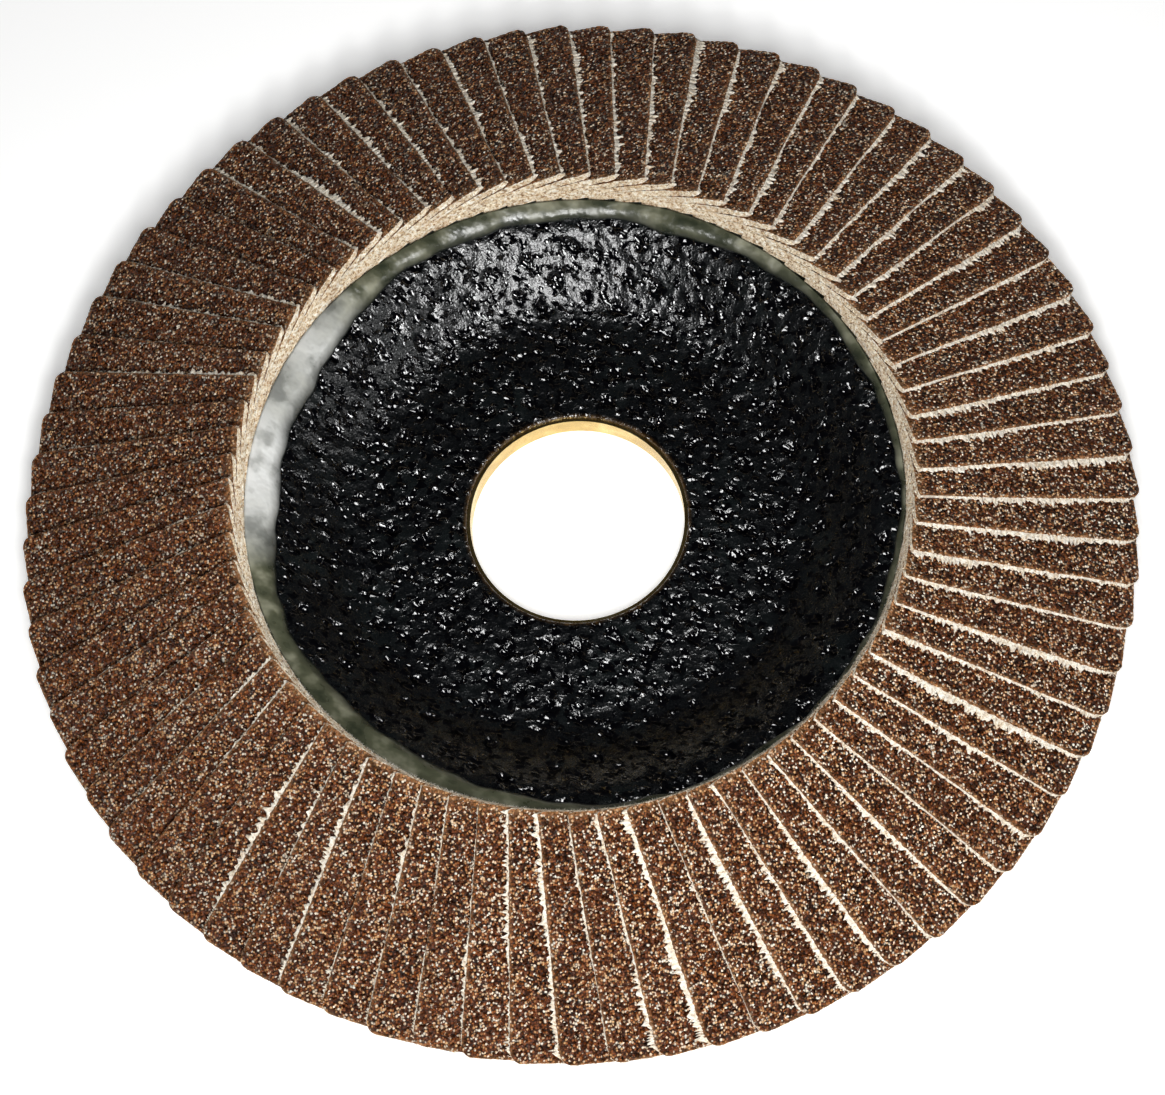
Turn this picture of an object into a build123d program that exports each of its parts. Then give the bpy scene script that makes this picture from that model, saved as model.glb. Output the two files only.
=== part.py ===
from build123d import *
import os
from math import asin, atan, ceil, cos, degrees, radians, sin, sqrt, tan

# Flap disc: overlapping flaps of abrasive cloth on a dished glass-fibre backing plate.
# Lengths are in millimetres and angles in degrees.
# The origin is the centre of the bore on the machine-side face of the hub.
# +Z points to the working side, where the flaps are.

# Overall sizes
disc_diameter = 115.0  # over the outer corners of the flaps
bore_diameter = 22.23  # arbor hole, inside the centre ring

# Backing plate: flat hub, conical dish wall and shallow conical rim, all of one thickness
plate_thickness = 2.9
plate_overhang = 4.0  # the flaps reach this far past the plate
crest_setback = 1.5  # the dish wall turns over into the rim this far inside the flap roots
dish_width = 8.5  # the dish wall, measured along a radius
dish_angle = 36.5  # rise of the dish wall
rim_angle = 15.0  # fall of the rim towards the outside
hub_bend_radius = 7.0
crest_bend_radius = 5.0
plate_edge_round = 0.4

# Centre ring: a thin metal eyelet pressed into the bore from the machine side
ring_wall = 0.35
ring_flange_width = 4.4  # from the bore's wall to the flange's outer edge
ring_setback = 0.4  # the sleeve ends this far below the working-side face of the hub
ring_clearance = 0.02

# Adhesive: a thin bed under the flaps and a bead round their roots
bed_thickness = 0.4
bead_width = 3.4  # from its toe on the dish wall to the flap roots
bead_height = 1.1  # above the bed, at the flap roots
bead_crown = 0.35  # how far the bead's face bulges
root_clearance = 0.1  # between the bead and the flap roots

# Flaps: rectangles of coated cloth, each centred on its own radial line
flap_sets = 25
flaps_per_set = 3
flap_length = 24.0
flap_width = 11.5
ply_rise = 0.9  # height that each flap adds to the stack
ply_gap = 0.04  # clearance between neighbouring flaps, and under the lowest edge
first_flap_angle = 6.9  # centre line of the first flap, measured from +X
sheet_margin = 5.0  # the untrimmed sheet reaches this far past the flap's ends

# Radii and heights that follow from the sizes above
disc_radius = disc_diameter / 2
flap_root_radius = disc_radius - flap_length
flap_half_width = flap_width / 2
flap_pitch = 360 / (flap_sets * flaps_per_set)
plate_radius = disc_radius - plate_overhang
crest_radius = flap_root_radius - crest_setback
crest_height = plate_thickness + dish_width * tan(radians(dish_angle))
hub_flat_radius = crest_radius - dish_width
bore_radius = bore_diameter / 2
sleeve_radius = bore_radius + ring_wall
ring_flange_radius = bore_radius + ring_flange_width


def rim_height(radius):
    """Height of the plate's rim, on its working side."""
    return crest_height - (radius - crest_radius) * tan(radians(rim_angle))


def bed_height(radius):
    """Height of the adhesive bed on the rim."""
    return rim_height(radius) + bed_thickness


def side_angle(radius):
    """Angle between a flap's centre line and its long edge, seen from the disc's axis."""
    return degrees(asin(flap_half_width / radius))


def seated_height(radius):
    """Height of the underside on the centre line, when the trailing edge rests on the bed."""
    return bed_height(radius) + ply_gap + ply_rise * side_angle(radius) / flap_pitch


# Every flap is cut from the same spiral sheet, which falls by one ply for each pitch.
# Its underside is a straight line through the axis, and this is that line's slope.
sheet_slope = (seated_height(flap_root_radius) - seated_height(disc_radius)) / flap_length
sheet_angle = degrees(atan(sheet_slope))


def sheet_height(radius):
    """Height of the sheet's underside on the flap's centre line."""
    return seated_height(disc_radius) + sheet_slope * (disc_radius - radius)


def dish_profile(edge_radius):
    """Working-side face of the plate, from the axis to the rim."""
    return [
        (0, plate_thickness),
        (hub_flat_radius, plate_thickness),
        (crest_radius, crest_height),
        (edge_radius, rim_height(edge_radius)),
    ]


# Backing plate
with BuildPart() as backing_plate:
    with BuildSketch(Plane.XZ):
        with BuildLine():
            FilletPolyline(*dish_profile(plate_radius), radius=(hub_bend_radius, crest_bend_radius))
            offset(amount=plate_thickness, side=Side.RIGHT)
        make_face()
    revolve(axis=Axis.Z)
    outer_edges = backing_plate.edges().filter_by(GeomType.CIRCLE).sort_by(SortBy.RADIUS)[-2:]
    fillet(outer_edges, radius=plate_edge_round)
    with Locations(Plane(origin=(0, 0, 0), x_dir=(1, 0, 0), z_dir=(0, 0, -1))):
        CounterBoreHole(
            radius=sleeve_radius + ring_clearance,
            counter_bore_radius=ring_flange_radius + ring_clearance,
            counter_bore_depth=ring_wall + ring_clearance,
        )

# Centre ring: a sleeve through the bore and a flange let into the machine-side face
with BuildPart() as centre_ring:
    with BuildSketch(Plane.XY):
        Circle(ring_flange_radius)
        Circle(bore_radius, mode=Mode.SUBTRACT)
    extrude(amount=ring_wall)
    with BuildSketch(Plane.XY):
        Circle(sleeve_radius)
        Circle(bore_radius, mode=Mode.SUBTRACT)
    extrude(amount=plate_thickness - ring_setback)

# Adhesive ring: drawn down to half the plate's depth, then trimmed to its working-side face
with BuildPart() as adhesive_ring:
    bead_radius = flap_root_radius - root_clearance
    toe_radius = bead_radius - bead_width
    toe_height = plate_thickness + (toe_radius - hub_flat_radius) * tan(radians(dish_angle))
    bead_top = bed_height(bead_radius) + bead_height
    with BuildSketch(Plane.XZ):
        with BuildLine():
            Polyline(
                (bead_radius, bead_top),
                (bead_radius, bed_height(bead_radius)),
                (plate_radius, bed_height(plate_radius)),
                (plate_radius, rim_height(plate_radius) - plate_edge_round),
                (crest_radius, crest_height - plate_thickness / 2),
                (toe_radius, toe_height),
            )
            SagittaArc((toe_radius, toe_height), (bead_radius, bead_top), bead_crown)
        make_face()
    revolve(axis=Axis.Z)
    add(backing_plate.part, mode=Mode.SUBTRACT)


def sheet_plane(step):
    """Upright plane through the disc's axis, a number of pitches round from the flap's centre line."""
    turn = radians(step * flap_pitch)
    return Plane(
        origin=(0, 0, -step * ply_rise),
        x_dir=(cos(turn), sin(turn), 0),
        z_dir=(sin(turn), -cos(turn), 0),
    )


# One flap along +X: a spiral sheet, cut square to its surface by the flap's rectangle
with BuildPart() as flap:
    sheet_start = flap_root_radius - sheet_margin
    sheet_end = disc_radius + sheet_margin
    cloth_rise = ply_rise - ply_gap
    last_step = ceil(side_angle(sheet_start) / flap_pitch)
    for step in range(-last_step, last_step + 1):
        with BuildSketch(sheet_plane(step)):
            with BuildLine():
                Polyline(
                    (sheet_start, sheet_height(sheet_start)),
                    (sheet_end, sheet_height(sheet_end)),
                    (sheet_end, sheet_height(sheet_end) + cloth_rise),
                    (sheet_start, sheet_height(sheet_start) + cloth_rise),
                    close=True,
                )
            make_face()
    loft(ruled=True)
    corner_height = sheet_height(disc_radius) + cloth_rise + ply_rise * side_angle(disc_radius) / flap_pitch
    cutter_plane = Plane(
        origin=(sqrt(disc_radius**2 - flap_half_width**2), 0, corner_height),
        x_dir=(cos(radians(sheet_angle)), 0, -sin(radians(sheet_angle))),
        z_dir=(sin(radians(sheet_angle)), 0, cos(radians(sheet_angle))),
    )
    with BuildSketch(cutter_plane):
        Rectangle(flap_length, flap_width, align=(Align.MAX, Align.CENTER))
    extrude(amount=2 * sheet_margin, both=True, mode=Mode.INTERSECT)

# One set of neighbouring flaps, each a separate piece
with BuildPart() as flap_set:
    with PolarLocations(
        radius=0,
        count=flaps_per_set,
        start_angle=first_flap_angle,
        angular_range=flaps_per_set * flap_pitch,
    ):
        add(flap.part)

os.makedirs("parts", exist_ok=True)

backing_plate.part.label = "backing_plate"
export_step(backing_plate.part, "parts/backing_plate.step")

centre_ring.part.label = "centre_ring"
export_step(centre_ring.part, "parts/centre_ring.step")

adhesive_ring.part.label = "adhesive_ring"
export_step(adhesive_ring.part, "parts/adhesive_ring.step")

# The same set of flaps, repeated round the disc
for number in range(flap_sets):
    flaps = flap_set.part.rotate(Axis.Z, number * flaps_per_set * flap_pitch)
    flaps.label = f"flaps_{number + 1:02d}"
    export_step(flaps, f"parts/{flaps.label}.step")
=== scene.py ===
from math import cos, degrees, pi, radians, sin, sqrt, tan

import bmesh
import bpy
import numpy as np
from mathutils import Matrix, Vector


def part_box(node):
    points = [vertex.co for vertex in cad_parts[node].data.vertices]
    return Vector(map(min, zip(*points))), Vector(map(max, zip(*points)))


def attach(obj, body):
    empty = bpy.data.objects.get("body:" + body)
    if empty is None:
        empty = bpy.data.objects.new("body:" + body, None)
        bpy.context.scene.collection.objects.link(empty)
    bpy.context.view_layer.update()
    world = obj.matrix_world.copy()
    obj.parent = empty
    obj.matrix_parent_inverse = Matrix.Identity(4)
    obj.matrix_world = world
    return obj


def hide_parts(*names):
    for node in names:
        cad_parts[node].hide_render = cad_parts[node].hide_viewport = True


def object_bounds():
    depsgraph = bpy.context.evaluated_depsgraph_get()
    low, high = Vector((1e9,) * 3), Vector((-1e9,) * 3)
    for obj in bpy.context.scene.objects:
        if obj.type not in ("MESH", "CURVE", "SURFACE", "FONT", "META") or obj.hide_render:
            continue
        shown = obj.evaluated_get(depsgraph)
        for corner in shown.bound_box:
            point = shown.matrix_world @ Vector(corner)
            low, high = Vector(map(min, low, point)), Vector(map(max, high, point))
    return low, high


# Looks of the flap disc: coated cloth flaps, a moulded dish, a bead of adhesive and a metal eyelet.
# Lengths below are in millimetres, and angles in degrees. Meshes are scaled to metres when made.
# +X is to the right, the working side faces +Z, and angles run anticlockwise from +X.

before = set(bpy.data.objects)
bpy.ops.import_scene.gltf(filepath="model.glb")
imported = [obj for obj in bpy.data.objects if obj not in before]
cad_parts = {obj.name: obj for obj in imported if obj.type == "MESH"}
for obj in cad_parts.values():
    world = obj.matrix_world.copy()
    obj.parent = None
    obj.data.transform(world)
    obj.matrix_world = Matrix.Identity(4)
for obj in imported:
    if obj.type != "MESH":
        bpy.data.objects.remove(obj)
cad_low, cad_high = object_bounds()

MM = 0.001
SEED = 7


def node_size(node):
    """Lowest and highest corner of a CAD node, in millimetres."""
    low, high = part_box(node)
    return low / MM, high / MM


# Sizes read from the frame
PLATE_RADIUS = node_size("backing_plate")[1].x
RING_FLANGE_RADIUS = node_size("centre_ring")[1].x
DISC_RADIUS = round(max(abs(cad_low.x), cad_high.x, abs(cad_low.y), cad_high.y) / MM, 1)

# Sizes of the disc, as it was built
BORE_RADIUS = 22.23 / 2
RING_WALL = 0.35
RING_CLEARANCE = 0.02
PLATE_THICKNESS = 2.9
HUB_FLAT_RADIUS = 23.5
CREST_RADIUS = 32.0
DISH_ANGLE = 36.5
RIM_ANGLE = 15.0
HUB_BEND_RADIUS = 7.0
CREST_BEND_RADIUS = 5.0
PLATE_EDGE_ROUND = 0.4
BED_THICKNESS = 0.4
FLAP_SETS = 25
FLAPS_PER_SET = 3
FLAP_LENGTH = 24.0
FLAP_WIDTH = 11.5
PLY_RISE = 0.9
PLY_GAP = 0.04
FIRST_FLAP_ANGLE = 6.9

# What follows from them
FLAP_COUNT = FLAP_SETS * FLAPS_PER_SET
FLAP_PITCH = 360 / FLAP_COUNT
HALF_WIDTH = FLAP_WIDTH / 2
ROOT_RADIUS = DISC_RADIUS - FLAP_LENGTH
CLOTH_RISE = PLY_RISE - PLY_GAP
PLATE_BORE = BORE_RADIUS + RING_WALL + RING_CLEARANCE
CREST_HEIGHT = PLATE_THICKNESS + (CREST_RADIUS - HUB_FLAT_RADIUS) * tan(radians(DISH_ANGLE))


def rim_height(radius):
    """Height of the plate's conical rim, on its working side."""
    return CREST_HEIGHT - (radius - CREST_RADIUS) * tan(radians(RIM_ANGLE))


def seated_height(radius):
    """Height of a flap's underside on its centre line, when its trailing edge rests on the bed."""
    side_angle = degrees(np.arcsin(HALF_WIDTH / radius))
    return rim_height(radius) + BED_THICKNESS + PLY_GAP + PLY_RISE * side_angle / FLAP_PITCH


SHEET_SLOPE = (seated_height(ROOT_RADIUS) - seated_height(DISC_RADIUS)) / FLAP_LENGTH
SHEET_ANGLE = np.arctan(SHEET_SLOPE)
CORNER_HEIGHT = seated_height(DISC_RADIUS) + CLOTH_RISE + seated_height(DISC_RADIUS) - (
    rim_height(DISC_RADIUS) + BED_THICKNESS + PLY_GAP
)


# Helpers for meshes and node trees


def paint(red, green, blue):
    """A screen colour, 0 to 255, as the linear colour that a shader takes."""
    values = [channel / 255 for channel in (red, green, blue)]
    return tuple(v / 12.92 if v <= 0.04045 else ((v + 0.055) / 1.055) ** 2.4 for v in values) + (1.0,)


class Nodes:
    """One material's node tree, with short calls that add and join nodes."""

    def __init__(self, name):
        self.material = bpy.data.materials.new(name)
        self.material.use_nodes = True
        self.tree = self.material.node_tree
        self.shader = self.tree.nodes["Principled BSDF"]

    def add(self, kind, sockets=None, **settings):
        """Adds a node. A socket's value is a plain value or another node's output."""
        node = self.tree.nodes.new("ShaderNode" + kind)
        for name, value in settings.items():
            setattr(node, name, value)
        for key, value in (sockets or {}).items():
            self.join(value, node.inputs[key])
        return node

    def join(self, value, socket):
        if isinstance(value, bpy.types.NodeSocket):
            self.tree.links.new(value, socket)
        else:
            socket.default_value = value

    def finish(self, **sockets):
        """Sets the shader's sockets, whose names are written with underscores."""
        for key, value in sockets.items():
            self.join(value, self.shader.inputs[key.replace("_", " ")])
        return self.material

    def position(self):
        """The point on the surface, in metres."""
        return self.add("TexCoord").outputs["Object"]

    def attribute(self, name):
        return self.add("Attribute", attribute_name=name).outputs["Fac"]

    def math(self, operation, first, second):
        return self.add("Math", {0: first, 1: second}, operation=operation).outputs[0]

    def between(self, value, low, high, out_low=0.0, out_high=1.0):
        """Maps a value from one range to another, and clamps it."""
        sockets = {"Value": value, "From Min": low, "From Max": high, "To Min": out_low, "To Max": out_high}
        return self.add("MapRange", sockets).outputs[0]

    def noise(self, size, detail, roughness=0.5, vector=None):
        """Noise whose features are about size millimetres across."""
        sockets = {
            "Vector": vector or self.position(),
            "Scale": 1 / (size * MM),
            "Detail": detail,
            "Roughness": roughness,
        }
        return self.add("TexNoise", sockets).outputs["Fac"]

    def stretched(self, angle, ratio):
        """The position with all features drawn out along an angle in the disc's plane."""
        node = self.add("Mapping", {"Vector": self.position()}, vector_type="TEXTURE")
        node.inputs["Rotation"].default_value = (0, 0, radians(angle))
        node.inputs["Scale"].default_value = (ratio, 1, 1)
        return node.outputs[0]

    def ramp(self, value, stops):
        """A colour ramp through (place, colour) stops."""
        node = self.add("ValToRGB", {"Fac": value})
        elements = node.color_ramp.elements
        elements[0].position, elements[0].color = stops[0]
        elements[1].position, elements[1].color = stops[-1]
        for place, colour in stops[1:-1]:
            elements.new(place).color = colour
        return node.outputs["Color"]

    def mix(self, amount, first, second):
        node = self.add("Mix", data_type="RGBA")
        self.join(amount, node.inputs[0])
        self.join(first, node.inputs[6])
        self.join(second, node.inputs[7])
        return node.outputs[2]

    def bump(self, height, depth, normal=None):
        """A bump of so many millimetres for a height of 1."""
        sockets = {"Height": height, "Distance": depth * MM}
        if normal is not None:
            sockets["Normal"] = normal
        return self.add("Bump", sockets).outputs["Normal"]


def make_piece(name, points, faces, materials, slots, smooth=False, attributes=None, uv=None):
    """A mesh object from points in millimetres and triangles or quads, with a slot number for each face."""
    mesh = bpy.data.meshes.new(name)
    faces = np.asarray(faces, dtype=np.int32)
    corners = faces.shape[1]
    mesh.vertices.add(len(points))
    mesh.vertices.foreach_set("co", (np.asarray(points, dtype=np.float32) * MM).ravel())
    mesh.loops.add(faces.size)
    mesh.loops.foreach_set("vertex_index", faces.ravel())
    mesh.polygons.add(len(faces))
    mesh.polygons.foreach_set("loop_start", np.arange(0, faces.size, corners, dtype=np.int32))
    mesh.polygons.foreach_set("material_index", np.asarray(slots, dtype=np.int32))
    mesh.polygons.foreach_set("use_smooth", np.full(len(faces), smooth, dtype=bool))
    for key, values in (attributes or {}).items():
        layer = mesh.attributes.new(key, "FLOAT", "POINT")
        layer.data.foreach_set("value", np.asarray(values, dtype=np.float32))
    if uv is not None:
        layer = mesh.uv_layers.new(name="Cloth")
        layer.data.foreach_set("uv", np.asarray(uv, dtype=np.float32)[faces.ravel()].ravel())
    mesh.update(calc_edges=True)
    mesh.validate()
    for material in materials:
        mesh.materials.append(material)
    piece = bpy.data.objects.new(name, mesh)
    bpy.context.scene.collection.objects.link(piece)
    return piece


def stitch(first, first_places, second, second_places):
    """Triangles between two lines of points that have different numbers of points."""
    triangles = []
    i = j = 0
    while i < len(first) - 1 or j < len(second) - 1:
        step_first = j == len(second) - 1
        if not step_first and i < len(first) - 1:
            step_first = first_places[i + 1] <= second_places[j + 1]
        if step_first:
            triangles.append((first[i], first[i + 1], second[j]))
            i += 1
        else:
            triangles.append((first[i], second[j + 1], second[j]))
            j += 1
    return triangles


def grid_triangles(grid):
    """Two triangles for each cell of a grid of point numbers."""
    a, b, c, d = grid[:-1, :-1], grid[1:, :-1], grid[1:, 1:], grid[:-1, 1:]
    first = np.stack([a, b, c], -1).reshape(-1, 3)
    second = np.stack([a, c, d], -1).reshape(-1, 3)
    return np.concatenate([first, second]).tolist()


# Flaps

FLAP_ROWS = 118  # along the flap
STRIP_COLUMNS = 22  # across the part of the flap that its neighbour leaves bare
COARSE_ROWS = 12
STRIP_MARGIN = 0.45  # the fine strip reaches this far under the neighbour
EDGE_DEPTHS = (0.15, 0.27, 0.40, 0.54, 0.68, 0.80)  # levels of the cut edge, below the grit
EDGE_REACH = (0.0, 0.20, 0.85, 1.0, 0.85, 0.45)  # share of the fringe's reach at each level
HIDDEN_PLACES = (0.0, 3.0, HALF_WIDTH)  # coarse columns of the covered part
BOTTOM_PLACES = (-2.0, 2.0, HALF_WIDTH)
GRIT_DEPTH = 0.13
HIDDEN_DEPTH = 0.05  # the covered part lies this far below the grit's tops
GRIT_LEVELS = 2  # levels of the cut edge that belong to the grit and its size coat
POINT_JITTER = 0.3  # random shift of the points of the bare strip, as a share of their spacing
CHIP_DEPTH = 0.10  # the raised edge is chipped back this far at most
CHIP_LEVEL, CHIP_FALL = 0.04, 0.8  # depth of that edge, and how much lower a chip makes it
EDGE_WEAR = 0.14  # how far wear reaches in from the raised edge, the outer end and the inner end
OUTER_WEAR = 0.12
INNER_WEAR = 0.40
WORN_FRINGE = 0.22  # an edge whose fringe reaches less far on average is less worn
CORNER_ROUND = 1.2
CORNER_FADE = 3.0  # the rounding dies out this far from a flap's end
INNER_ROUND = 0.25  # share of the rounding that the inner corners have
END_BAND = 0.8  # length of the frayed end under the neighbouring flap
END_CURVE = 0.85  # how closely the inner ends follow the round hole, from 0, straight, to 1, round


def flap_surface(along, across, depth):
    """Points of a flap along +X: along from its outer end, across its width, depth below its grit."""
    start = sqrt(DISC_RADIUS**2 - HALF_WIDTH**2) - along * cos(SHEET_ANGLE)
    height = CORNER_HEIGHT + along * sin(SHEET_ANGLE)
    lift = np.zeros_like(start)
    for _ in range(4):
        x = start + lift * sin(SHEET_ANGLE)
        radius = np.hypot(x, across)
        turn = np.degrees(np.arctan2(across, x)) / FLAP_PITCH
        sheet = seated_height(DISC_RADIUS) + SHEET_SLOPE * (DISC_RADIUS - radius)
        target = sheet + CLOTH_RISE - PLY_RISE * turn - depth
        lift += (target - height - lift * cos(SHEET_ANGLE)) * cos(SHEET_ANGLE)
    return np.stack([x, across, target], -1)


def coarse_places():
    """Places along the flap of the coarse rows, the last of them past a short frayed band."""
    return np.append(np.linspace(0, FLAP_LENGTH - END_BAND, COARSE_ROWS), FLAP_LENGTH)


def bare_width(along):
    """Width of the strip between a flap's raised edge and its neighbour's."""
    x = sqrt(DISC_RADIUS**2 - HALF_WIDTH**2) - along * cos(SHEET_ANGLE)
    pitch = radians(FLAP_PITCH)
    return (x - HALF_WIDTH * sin(pitch)) * tan(pitch) + HALF_WIDTH * (1 - cos(pitch))


def flap_numbers():
    """Point numbers of one flap, by region, in the order in which flap_points gives them."""
    rows, columns, levels = FLAP_ROWS + 1, STRIP_COLUMNS + 1, len(EDGE_DEPTHS)
    hidden, bottom, coarse = len(HIDDEN_PLACES), len(BOTTOM_PLACES), COARSE_ROWS + 1
    shapes = {
        "strip": (rows, columns),
        "edge": (rows, levels + 1),
        "hidden": (coarse, hidden),
        "bottom": (coarse, bottom),
        "far_edge": (coarse, levels),
        "outer_end": (levels, columns + hidden - 2),
        "inner_end": (levels, columns + hidden - 2),
    }
    numbers, start = {}, 0
    for region, shape in shapes.items():
        count = shape[0] * shape[1]
        numbers[region] = np.arange(start, start + count).reshape(shape)
        start += count
    return numbers


def flap_faces():
    """Triangles of one flap and their slots: 0 for the grit, 1 for the cloth."""
    n = flap_numbers()
    fine = np.linspace(0, 1, FLAP_ROWS + 1)
    coarse = coarse_places() / FLAP_LENGTH
    grit = grid_triangles(n["strip"])
    grit += stitch(n["strip"][:, -1], fine, n["hidden"][:, 0], coarse)
    grit += grid_triangles(n["hidden"][:-1])
    grit += grid_triangles(np.column_stack([n["strip"][:, 0], n["edge"][:, :GRIT_LEVELS]]))
    cloth = grid_triangles(n["edge"][:, GRIT_LEVELS - 1 :])
    cloth += grid_triangles(n["hidden"][-2:])
    cloth += stitch(n["edge"][:, -1], fine, n["bottom"][:, 0], coarse)
    cloth += grid_triangles(n["bottom"])
    cloth += grid_triangles(np.column_stack([n["hidden"][:, -1], n["far_edge"], n["bottom"][:, -1]]))
    for end, row in (("outer_end", 0), ("inner_end", -1)):
        top = np.concatenate([n["strip"][row], n["hidden"][row]])
        left, right = n["edge"][row, :-1], n["far_edge"][row]
        face = np.vstack([top, np.column_stack([left, n[end], right])])
        cloth += grid_triangles(face)
        low = np.concatenate([n["edge"][row, -1:], n["bottom"][row]])
        low_places = np.concatenate([[-HALF_WIDTH], BOTTOM_PLACES])
        cloth += stitch(face[-1], end_places(row), low, low_places)
    return np.array(grit + cloth), np.array([0] * len(grit) + [1] * len(cloth))


def end_places(row):
    """Places across a flap of the columns of its end face."""
    along = 0.0 if row == 0 else FLAP_LENGTH
    strip = np.linspace(0, bare_width(along) + STRIP_MARGIN, STRIP_COLUMNS + 1) - HALF_WIDTH
    return np.concatenate([strip, HIDDEN_PLACES])


def outward(points, triangles):
    """The triangles, turned so that they all face outwards."""
    mesh = bmesh.new()
    corners = [mesh.verts.new(point) for point in points]
    faces = [mesh.faces.new([corners[i] for i in triangle]) for triangle in triangles]
    bmesh.ops.recalc_face_normals(mesh, faces=faces)
    mesh.verts.index_update()
    turned = [[corner.index for corner in face.verts] for face in faces]
    mesh.free()
    return np.array(turned)


def flap_points(chance, fringe):
    """Places along, across and below the grit of one flap's points, and their wear.

    fringe is how far the torn edge reaches in each row.
    """
    rows = FLAP_ROWS + 1
    along = np.linspace(0, FLAP_LENGTH, rows)
    share = np.linspace(0, 1, STRIP_COLUMNS + 1)
    strip_along = np.repeat(along[:, None], STRIP_COLUMNS + 1, 1)
    strip_across = share * (bare_width(along)[:, None] + STRIP_MARGIN) - HALF_WIDTH
    jitter = chance.uniform(-POINT_JITTER, POINT_JITTER, (2,) + strip_along.shape)
    jitter[:, [0, -1], :] = 0
    jitter[:, :, [0, -1]] = 0
    strip_along = strip_along + jitter[0] * FLAP_LENGTH / FLAP_ROWS
    strip_across = strip_across + jitter[1] * (bare_width(along)[:, None] / STRIP_COLUMNS)
    strip_depth = GRIT_DEPTH * chance.random(strip_along.shape) ** 1.5
    chipped = chance.uniform(0.0, CHIP_DEPTH, rows)
    strip_across[:, 0] += chipped
    strip_depth[:, 0] = CHIP_LEVEL + chipped * CHIP_FALL
    amount = chance.uniform(0.1, 0.8, (rows, 1)) * min(1.0, fringe.mean() / WORN_FRINGE)
    wear = amount * np.exp(-(strip_across + HALF_WIDTH) / EDGE_WEAR)
    outer = np.exp(-strip_along / OUTER_WEAR)
    inner = np.exp(-(FLAP_LENGTH - strip_along) / INNER_WEAR)
    wear = np.maximum(wear, chance.uniform(0.0, 0.9, wear.shape) * outer)
    wear = np.maximum(wear, chance.uniform(0.2, 1.0, wear.shape) * inner)
    edge_wear = np.zeros((rows, len(EDGE_DEPTHS) + 1))
    edge_wear[:, :GRIT_LEVELS] = amount * (0.7, 1.0)
    edge_wear[:, GRIT_LEVELS:] = chance.uniform(0.0, 1.0, edge_wear[:, GRIT_LEVELS:].shape)

    edge_along = np.repeat(along[:, None], len(EDGE_DEPTHS) + 1, 1)
    reach = np.array(EDGE_REACH + (0.1,)) * fringe[:, None]
    reach = reach * chance.uniform(0.75, 1.25, reach.shape)
    edge_across = -HALF_WIDTH - reach
    edge_depth = np.array(EDGE_DEPTHS + (CLOTH_RISE,)) + np.zeros_like(edge_along)
    edge_depth[:, :-1] += chance.uniform(-0.04, 0.04, edge_depth[:, :-1].shape)

    coarse = coarse_places()[:, None]
    hidden_along = coarse + np.zeros(len(HIDDEN_PLACES))
    hidden_across = np.array(HIDDEN_PLACES) + np.zeros_like(hidden_along)
    bottom_along = coarse + np.zeros(len(BOTTOM_PLACES))
    bottom_across = np.array(BOTTOM_PLACES) + np.zeros_like(bottom_along)
    far_along = coarse + np.zeros(len(EDGE_DEPTHS))
    far_across = HALF_WIDTH + np.zeros_like(far_along)
    far_depth = np.array(EDGE_DEPTHS) + np.zeros_like(far_along)

    regions = [
        (strip_along, strip_across, strip_depth, wear),
        (edge_along, edge_across, edge_depth, edge_wear),
        (hidden_along, hidden_across, np.full_like(hidden_along, HIDDEN_DEPTH), None),
        (bottom_along, bottom_across, np.full_like(bottom_along, CLOTH_RISE), None),
        (far_along, far_across, far_depth, None),
    ]
    for row in (0, -1):
        end_across = end_places(row)[1:-1] + np.zeros((len(EDGE_DEPTHS), 1))
        end_along = (0.0 if row == 0 else FLAP_LENGTH) + np.zeros_like(end_across)
        end_along += chance.uniform(-0.10, 0.10, end_along.shape)
        end_depth = np.array(EDGE_DEPTHS)[:, None] + np.zeros_like(end_across)
        regions.append((end_along, end_across, end_depth, None))
    along, across, depth = (np.concatenate([r[k].ravel() for r in regions]) for k in range(3))
    inset = np.clip(CORNER_ROUND - (HALF_WIDTH - np.minimum(abs(across), HALF_WIDTH)), 0, CORNER_ROUND)
    rounding = CORNER_ROUND - np.sqrt(CORNER_ROUND**2 - inset**2)
    along = along + rounding * np.clip(1 - along / CORNER_FADE, 0, 1)
    root = sqrt(DISC_RADIUS**2 - HALF_WIDTH**2) - FLAP_LENGTH * cos(SHEET_ANGLE)
    bulge = END_CURVE * (root - np.sqrt(root**2 - across**2)) - INNER_ROUND * rounding
    along = along + bulge * np.clip(1 - (FLAP_LENGTH - along) / CORNER_FADE, 0, 1)
    worn = np.concatenate([np.zeros(r[0].size) if r[3] is None else r[3].ravel() for r in regions])
    return along, across, depth, worn


# Raised edges that stand out in the photograph, as flap: (share of its length from its outer end, reach)
WIDE_EDGES = {
    14: (0.15, 0.5), 25: (0.8, 0.35), 29: (0.78, 0.3), 30: (0.5, 0.3), 32: (0.75, 0.45), 43: (0.95, 0.35),
    44: (0.95, 0.3), 46: (0.5, 0.75), 48: (0.5, 0.45), 54: (0.5, 0.35), 57: (0.5, 0.6), 59: (0.5, 0.35),
    61: (0.4, 0.45), 63: (0.5, 0.35), 67: (0.5, 0.8), 69: (0.5, 0.35), 72: (0.5, 0.3), 74: (0.4, 0.3),
}
WIDE_SPREAD = 0.4  # how far along the flap a wide place spreads, as a share of its length
FRINGE_REACH = 0.33
FAINT_REACH = 0.12
REACH_LIMITS = (0.02, 1.0)
TOOTH_EVENNESS = 6.0  # a larger number gives torn teeth of more equal length
TOOTH_PAIR = (0.84, 1.12)  # every second tooth is shorter
WAVE_DEPTH = 0.5
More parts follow.
